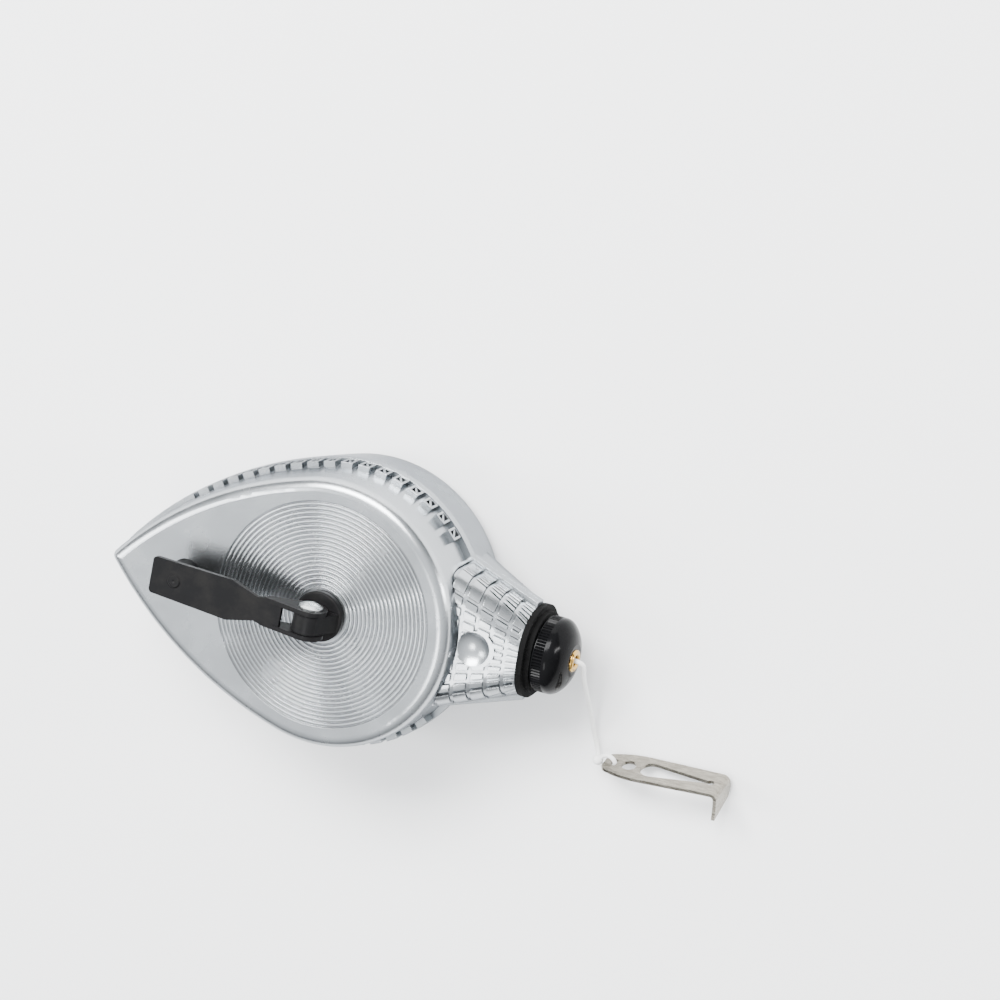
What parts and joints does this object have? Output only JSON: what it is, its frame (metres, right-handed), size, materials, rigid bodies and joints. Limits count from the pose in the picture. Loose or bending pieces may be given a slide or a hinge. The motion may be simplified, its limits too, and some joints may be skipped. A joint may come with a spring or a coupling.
{
  "type": "chalk line reel",
  "caption": "Teardrop die-cast chalk line reel with a grooved round face, folding crank, knurled screw-on nose cap and a short free line ending in a pressed hook.",
  "frame": {"origin": "middle of the reel's outline on the flat back that it lies on", "axes": "+X from the pointed tail to the nose, +Z out of the grooved front face"},
  "size_m": [0.1656, 0.074, 0.0483],
  "materials": {
    "cast_case": "satin, as die-cast and tumbled",
    "crank_steel": "semi-gloss black",
    "cap_plastic": "glossy black",
    "gasket_rubber": "rough, dark",
    "seal_rubber": "matt",
    "eyelet_brass": "polished",
    "bush_brass": "turned",
    "screw_steel": "zinc plated",
    "rivet_steel": "bright",
    "hook_steel": "nickel plated",
    "spool_plastic": "moulded",
    "line_cotton": "twisted cotton line",
    "felt": "dense felt"
  },
  "bodies": {
    "case": {"front_shell": "cast_case", "rear_shell": "cast_case", "shell_seal": "seal_rubber", "case_screws": "screw_steel", "front_bush": "bush_brass", "rear_bush": "bush_brass", "shaft_felt": "felt", "nose_gasket": "gasket_rubber", "nose_collar": "cap_plastic", "felt_wiper": "felt", "wiper_washer": "bush_brass", "line_inside": "line_cotton"},
    "reel": {"spool_shaft": "screw_steel", "spool_drum": "spool_plastic", "spool_flange_lower": "spool_plastic", "spool_flange_upper": "spool_plastic", "line_wound": "line_cotton", "crank_hub": "crank_steel"},
    "crank": {"crank_arm": "crank_steel", "crank_rivet": "rivet_steel", "knob_pin": "rivet_steel"},
    "winding_knob": {"knob": "cap_plastic"},
    "line_end": {"line_free": "line_cotton", "line_knot": "line_cotton", "hook": "hook_steel"},
    "cap": {"nose_cap": "cap_plastic", "eyelet": "eyelet_brass"}
  },
  "joints": [
    {"name": "reel_spin", "type": "hinge", "parent": "case", "child": "reel", "pos_m": [0.0007, 0, 0.0185], "axis": [0, 0, 1], "continuous": true},
    {"name": "crank_fold", "type": "hinge", "parent": "reel", "child": "crank", "pos_m": [0.0007, 0, 0.044], "axis": [0.0489, 0.9988, 0], "range_deg": [0, 180]},
    {"name": "knob_spin", "type": "hinge", "parent": "crank", "child": "winding_knob", "pos_m": [-0.03566, 0.00178, 0.0433], "axis": [0, 0, 1], "continuous": true},
    {"name": "cap_lift", "type": "slide", "parent": "case", "child": "line_end", "axis": [1, 0, 0], "range_m": [0, 0.006]},
    {"name": "cap_turn", "type": "hinge", "parent": "line_end", "child": "cap", "pos_m": [0.0592, 0, 0.0185], "axis": [1, 0, 0], "range_deg": [0, 1080]}
  ],
  "couplings": [
    {"joint": "cap_turn", "follows": "cap_lift", "rad_per_m": 3141.6}
  ]
}
